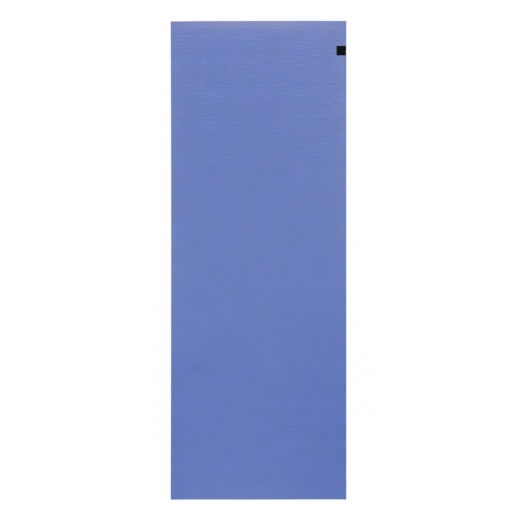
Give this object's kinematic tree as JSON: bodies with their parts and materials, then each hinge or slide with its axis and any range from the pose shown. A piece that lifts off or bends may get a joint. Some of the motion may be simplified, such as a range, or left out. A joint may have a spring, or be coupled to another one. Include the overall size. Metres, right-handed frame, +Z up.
{
  "type": "yoga mat",
  "caption": "Flat foam rubber exercise mat with a fine crosswise ripple, an inner mesh scrim and a small folded black label stitched round one side near the head end.",
  "frame": {"origin": "centre of the mat's underside, on the floor", "axes": "+X across the mat to the side that carries the label, +Y along the mat to the head end, where the label is, +Z up out of the practice side"},
  "size_m": [0.66, 1.8, 0.0055],
  "materials": {
    "foam_rubber": "matt, with a fine crosswise ripple",
    "scrim_yarn": "open mesh of polyester yarns, coated in rubber",
    "label_tape": "tightly woven satin tape",
    "sewing_thread": "twisted polyester thread"
  },
  "bodies": {
    "root": {"top_layer": "foam_rubber", "bottom_layer": "foam_rubber", "scrim": "scrim_yarn", "label": "label_tape", "needle_thread": "sewing_thread", "bobbin_thread": "sewing_thread"}
  },
  "joints": []
}
